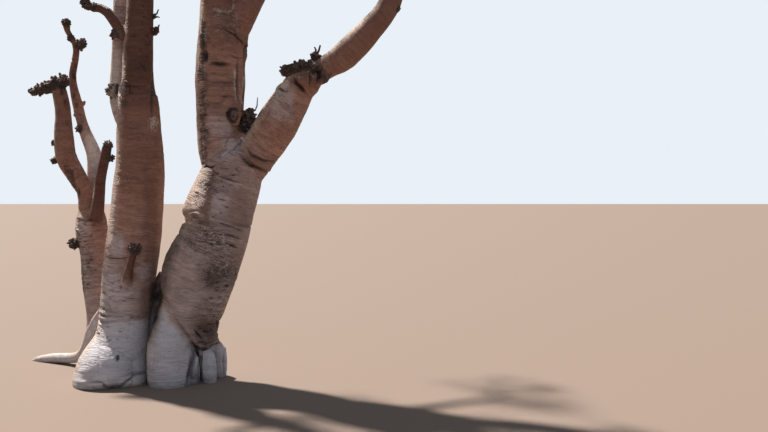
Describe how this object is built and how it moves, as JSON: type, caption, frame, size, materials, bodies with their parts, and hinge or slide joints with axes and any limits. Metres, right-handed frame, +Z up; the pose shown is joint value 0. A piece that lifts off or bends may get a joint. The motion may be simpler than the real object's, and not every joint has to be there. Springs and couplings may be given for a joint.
{
  "type": "bare multi-stemmed moringa tree",
  "caption": "Leafless bottle tree with swollen pale trunks rising from one root, thick smooth boughs with knotty burrs, and an open crown of bare twigs.",
  "frame": {"origin": "on the flat cut at ground level under the right and thickest trunk, at the ground mount", "axes": "+Z up, the viewer looks along +Y, +X to the viewer's right along the row of trunks"},
  "size_m": [4.5702, 3.5216, 5.9286],
  "materials": {
    "trunk_bark": "smooth pale bark with ring wrinkles",
    "bough_bark": "smooth pinkish-brown bark with burrs",
    "twigs": "rough grey-brown twigs"
  },
  "bodies": {
    "root": {"trunk_right": "trunk_bark", "trunk_middle": "trunk_bark", "trunk_left": "trunk_bark", "root_left": "trunk_bark", "bough_upright": "bough_bark", "bough_reaching": "bough_bark", "bough_reaching_outer": "bough_bark", "bough_upright_right": "bough_bark", "bough_tall": "bough_bark", "bough_pale": "bough_bark", "bough_hooked": "bough_bark", "bough_back": "bough_bark", "bough_left": "bough_bark", "bough_thin": "bough_bark", "stub_left": "bough_bark", "stub_front": "bough_bark", "knot_crotch": "bough_bark", "bough_tall_left": "bough_bark", "bough_tall_right": "bough_bark", "bough_reaching_inner": "bough_bark", "bough_upright_front": "bough_bark", "twigs_tall_top": "twigs", "twigs_tall_left": "twigs", "twigs_tall_right": "twigs", "twigs_pale": "twigs", "twigs_hooked": "twigs", "twigs_upright_top": "twigs", "twigs_upright_right": "twigs", "twigs_upright_front": "twigs", "twigs_back": "twigs", "twigs_reaching_outer": "twigs", "twigs_reaching_inner": "twigs"}
  },
  "joints": []
}
